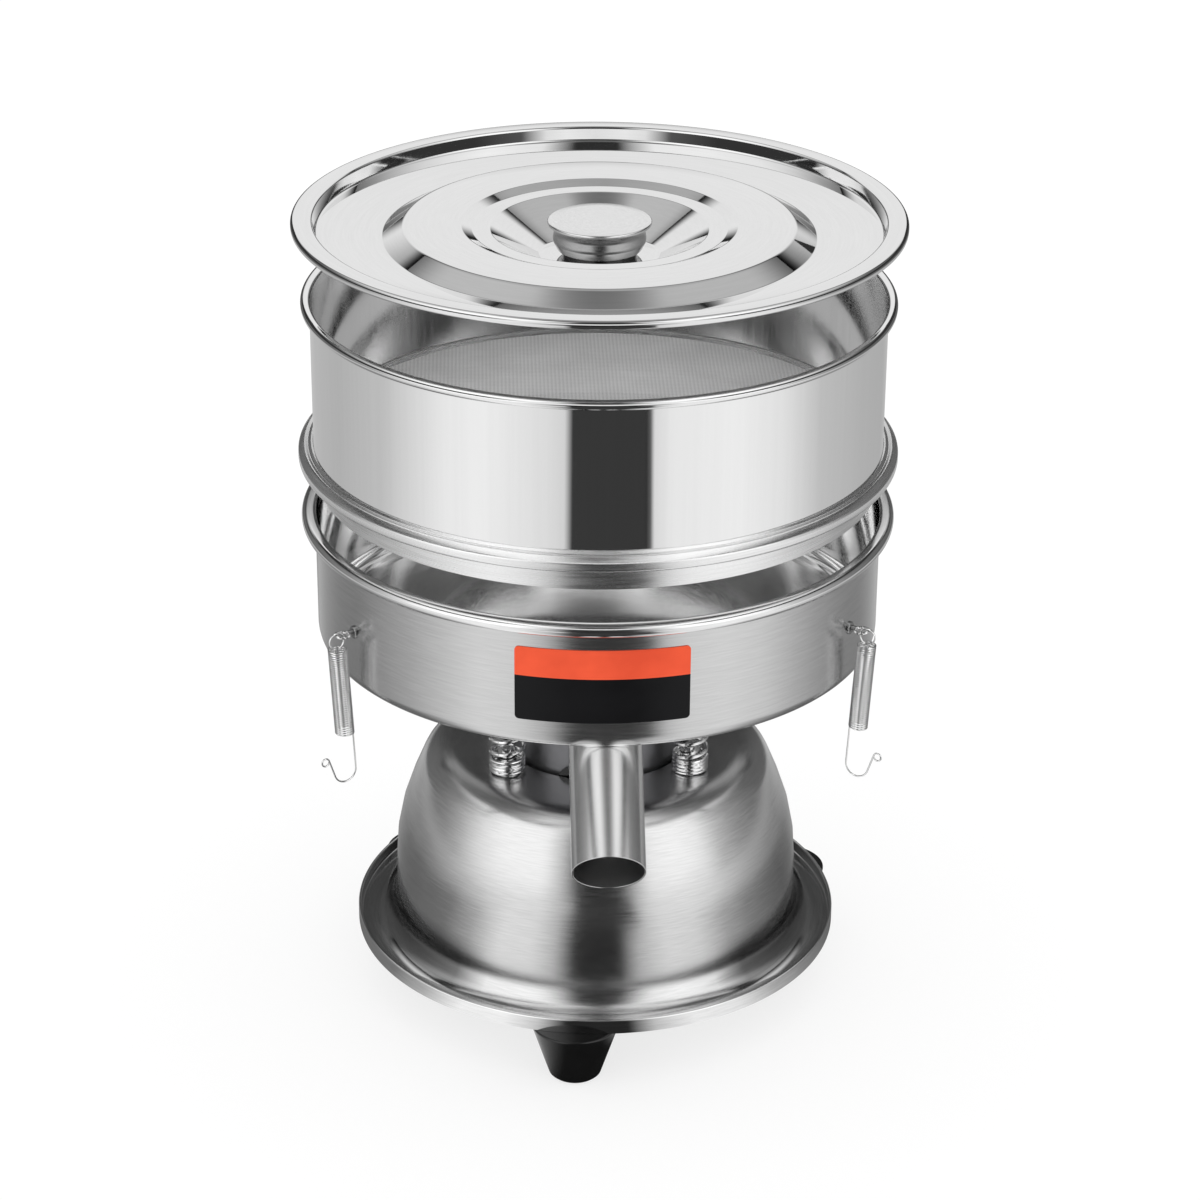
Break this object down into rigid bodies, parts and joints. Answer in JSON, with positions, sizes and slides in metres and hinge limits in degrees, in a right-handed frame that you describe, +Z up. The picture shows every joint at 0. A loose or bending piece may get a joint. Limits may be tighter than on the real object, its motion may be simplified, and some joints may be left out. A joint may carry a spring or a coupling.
{
  "type": "vibrating sieve",
  "caption": "Round table-top vibrating sieve: dome base on rubber feet, sprung pan with outlet spout and vibration motor, mesh drum, hook springs and lid with knob.",
  "frame": {"origin": "on the drum's axis at floor level, midway between the feet", "axes": "+Z up along the drum's axis, -Y towards the outlet spout"},
  "size_m": [0.3168, 0.3716, 0.4422],
  "materials": {
    "dome_steel": "brushed",
    "pan_steel": "brushed",
    "drum_steel": "satin",
    "lid_steel": "polished",
    "knob_steel": "polished",
    "mesh_steel": "woven",
    "spring_steel": "drawn wire",
    "screw_steel": "satin",
    "motor_paint": "satin",
    "cast_metal": "as cast",
    "can_aluminium": "satin",
    "copper": "enamelled wire",
    "black_rubber": "smooth",
    "black_plastic": "matte",
    "rocker_plastic": "gloss",
    "white_plastic": "matte"
  },
  "bodies": {
    "base": {"base_shell": "dome_steel", "bottom_cover": "dome_steel", "foot_1": "black_rubber", "foot_2": "black_rubber", "foot_3": "black_rubber", "foot_screws": "screw_steel", "spring_posts": "screw_steel", "suspension_spring_1": "spring_steel", "suspension_spring_2": "spring_steel", "suspension_spring_3": "spring_steel", "suspension_spring_4": "spring_steel", "switch_body": "black_plastic", "cord_gland": "black_rubber", "run_capacitor": "can_aluminium", "capacitor_strap": "screw_steel", "terminal_block": "white_plastic"},
    "pan": {"pan": "pan_steel", "outlet_spout": "pan_steel", "eye_bolts": "spring_steel", "motor_plate": "motor_paint", "spring_caps": "screw_steel", "motor_housing": "motor_paint", "housing_cap": "motor_paint", "motor_lead_grommet": "black_rubber", "motor_bolts": "screw_steel", "upper_bracket": "cast_metal", "lower_bracket": "cast_metal", "upper_bearing": "screw_steel", "lower_bearing": "screw_steel", "stator_core": "cast_metal", "stator_winding": "copper"},
    "rotor": {"motor_shaft": "screw_steel", "rotor_core": "cast_metal", "upper_weight": "cast_metal", "lower_weight": "cast_metal", "weight_screws": "screw_steel"},
    "sieve": {"drum_wall": "drum_steel", "drum_flange": "drum_steel", "mesh_screen": "mesh_steel", "mesh_ring": "drum_steel"},
    "lid": {"lid_shell": "lid_steel", "lid_knob": "knob_steel", "knob_base": "black_rubber", "knob_screw": "screw_steel"},
    "rocker": {"switch_rocker": "rocker_plastic"},
    "hook_1": {"hook_spring_1": "spring_steel"},
    "hook_2": {"hook_spring_2": "spring_steel"},
    "hook_3": {"hook_spring_3": "spring_steel"}
  },
  "joints": [
    {"name": "pan_bounce", "type": "slide", "parent": "base", "child": "pan", "axis": [0, 0, 1], "range_m": [-0.003, 0.003], "stiffness_N_per_m": 40000, "springref_m": 0.00201, "deforming": ["suspension_spring_1", "suspension_spring_2", "suspension_spring_3", "suspension_spring_4"]},
    {"name": "motor_spin", "type": "hinge", "parent": "pan", "child": "rotor", "pos_m": [0, 0, 0.1355], "axis": [0, 0, 1], "continuous": true},
    {"name": "sieve_lift", "type": "slide", "parent": "pan", "child": "sieve", "axis": [0, 0, 1], "range_m": [-0.0292, 0.06]},
    {"name": "lid_lift", "type": "slide", "parent": "sieve", "child": "lid", "axis": [0, 0, 1], "range_m": [-0.0412, 0.06]},
    {"name": "switch_rock", "type": "hinge", "parent": "base", "child": "rocker", "pos_m": [0, 0.1083, 0.064], "axis": [1, 0, 0], "range_deg": [0, 18]},
    {"name": "hook_swing_1", "type": "hinge", "parent": "pan", "child": "hook_1", "pos_m": [-0.13711, -0.08402, 0.243], "axis": [-0.5225, 0.8526, 0], "range_deg": [0, 165]},
    {"name": "hook_swing_2", "type": "hinge", "parent": "pan", "child": "hook_2", "pos_m": [0.13711, -0.08402, 0.243], "axis": [-0.5225, -0.8526, 0], "range_deg": [0, 165]},
    {"name": "hook_swing_3", "type": "hinge", "parent": "pan", "child": "hook_3", "pos_m": [0, 0.1608, 0.243], "axis": [1, 0, 0], "range_deg": [0, 165]}
  ]
}
